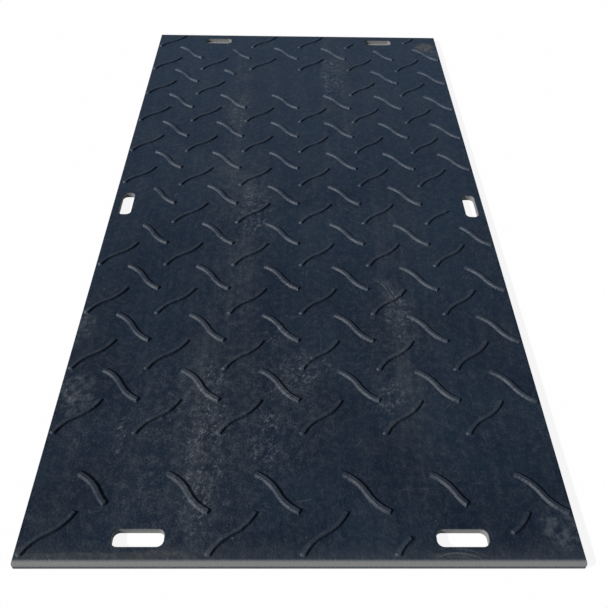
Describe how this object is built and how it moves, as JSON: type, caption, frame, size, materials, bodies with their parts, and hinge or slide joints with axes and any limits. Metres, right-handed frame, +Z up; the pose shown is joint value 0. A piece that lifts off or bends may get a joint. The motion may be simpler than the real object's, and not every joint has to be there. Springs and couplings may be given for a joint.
{
  "type": "trackway panel",
  "caption": "Black plastic ground-protection sheet with rounded edges, hand slots along its edges and a raised tread of S-shaped ribs.",
  "frame": {"origin": "middle of the flat underside", "axes": "+X across the track, +Y along the track away from the near end, +Z up through the tread"},
  "size_m": [1.2, 2.44, 0.025],
  "materials": {
    "black_plastic": "moulded dense plastic, scuffed and dusty"
  },
  "bodies": {
    "root": {"panel": "black_plastic"}
  },
  "joints": []
}
